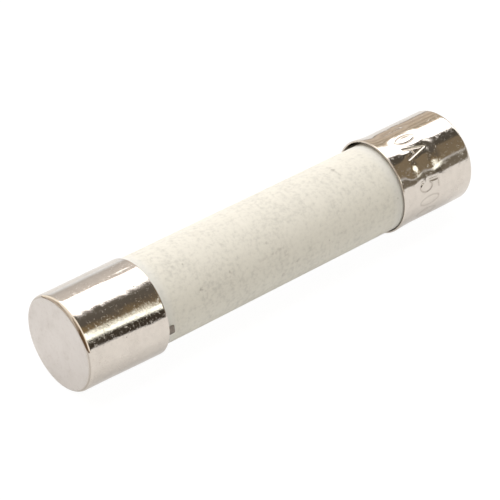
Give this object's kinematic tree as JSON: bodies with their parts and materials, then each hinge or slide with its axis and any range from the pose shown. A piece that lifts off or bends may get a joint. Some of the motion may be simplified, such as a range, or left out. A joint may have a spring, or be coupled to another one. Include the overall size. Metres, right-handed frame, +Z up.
{
  "type": "cartridge fuse",
  "caption": "Sand-filled ceramic cartridge fuse: plain white ceramic tube with a nickel-plated brass contact cap on each end, for clips or a screw-cap holder.",
  "frame": {"origin": "middle of the fuse, halfway between its end faces and on the tube's axis", "axes": "+X along the fuse from the plain cap towards the stamped cap, +Z up as it lies on a flat surface, +Y away from the side where the strip's left tail shows"},
  "size_m": [0.0318, 0.0065, 0.0065],
  "materials": {
    "nickel_plate": "polished",
    "fired_ceramic": "matte",
    "tinned_strip": "satin",
    "soft_tin": "satin",
    "quartz": "matte",
    "vulcanised_fibre": "matte",
    "cap_cement": "matte"
  },
  "bodies": {
    "root": {"left_end_cap": "nickel_plate", "right_end_cap": "nickel_plate", "ceramic_tube": "fired_ceramic", "fuse_strip": "tinned_strip", "tin_bead": "soft_tin", "quartz_sand": "quartz", "left_fibre_disc": "vulcanised_fibre", "right_fibre_disc": "vulcanised_fibre", "left_solder": "soft_tin", "right_solder": "soft_tin", "left_cement": "cap_cement", "right_cement": "cap_cement"}
  },
  "joints": []
}
